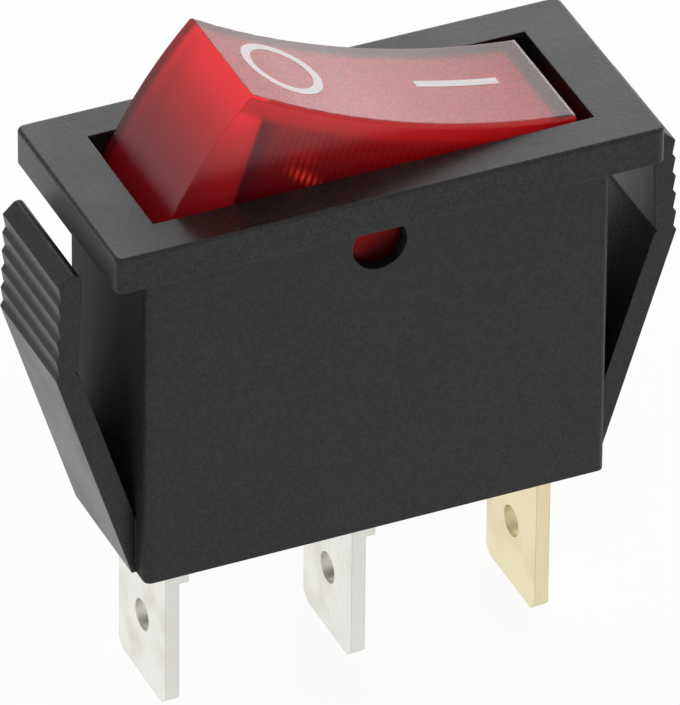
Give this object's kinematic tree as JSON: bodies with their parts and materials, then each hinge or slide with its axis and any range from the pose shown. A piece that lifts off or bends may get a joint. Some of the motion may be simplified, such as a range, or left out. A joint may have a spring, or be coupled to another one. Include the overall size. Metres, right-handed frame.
{
  "type": "panel rocker switch",
  "caption": "Slim snap-in panel rocker switch with a clear red illuminated rocker, latch wings, neon lamp, tilting contact bridge and three blade terminals.",
  "frame": {"origin": "centre of the panel cut-out, on the face of the panel under the bezel", "axes": "+Z out of the panel towards the rocker, +X along the bezel towards the end pressed for ON, +Y across the bezel"},
  "size_m": [0.0356, 0.0138, 0.0385],
  "materials": {
    "black_nylon": "fine matt moulding",
    "red_lens": "clear red, smooth top",
    "black_holder": "matt moulding",
    "plated_brass": "dull tin plating",
    "bare_brass": "bare rolled brass",
    "copper_alloy": "bright rolled strip",
    "contact_silver": "turned silver alloy",
    "spring_wire": "drawn wire",
    "lamp_glass": "clear glass",
    "electrode_metal": "drawn wire",
    "resistor_coat": "lacquered ceramic",
    "white_acetal": "smooth moulding"
  },
  "bodies": {
    "housing_body": {"housing": "black_nylon", "load_terminal": "plated_brass", "line_terminal": "plated_brass", "neutral_terminal": "bare_brass", "load_contact": "contact_silver"},
    "rocker": {"rocker_lens": "red_lens", "lamp_holder": "black_holder", "neon_bulb": "lamp_glass", "front_electrode": "electrode_metal", "rear_electrode": "electrode_metal", "resistor": "resistor_coat", "resistor_leads": "electrode_metal", "lead_sleeve": "white_acetal", "lamp_spring": "spring_wire", "plunger_spring": "spring_wire"},
    "plunger_body": {"plunger": "white_acetal"},
    "bridge": {"contact_bridge": "copper_alloy", "bridge_contact": "contact_silver"}
  },
  "joints": [
    {"name": "rocker_tilt", "type": "hinge", "parent": "housing_body", "child": "rocker", "pos_m": [0, 0, -0.0021], "axis": [0, -1, 0], "range_deg": [0, 37]},
    {"name": "plunger_slide", "type": "slide", "parent": "rocker", "child": "plunger_body", "axis": [0.3173, 0, 0.9483], "range_m": [0, 0.0012], "stiffness_N_per_m": 150, "springref_m": -0.002, "deforming": ["plunger_spring"]},
    {"name": "bridge_rock", "type": "hinge", "parent": "housing_body", "child": "bridge", "pos_m": [0, 0, -0.0111], "axis": [0, -1, 0], "range_deg": [-16, 0]}
  ],
  "couplings": [
    {"joint": "bridge_rock", "follows": "rocker_tilt", "ratio": -0.43243}
  ]
}
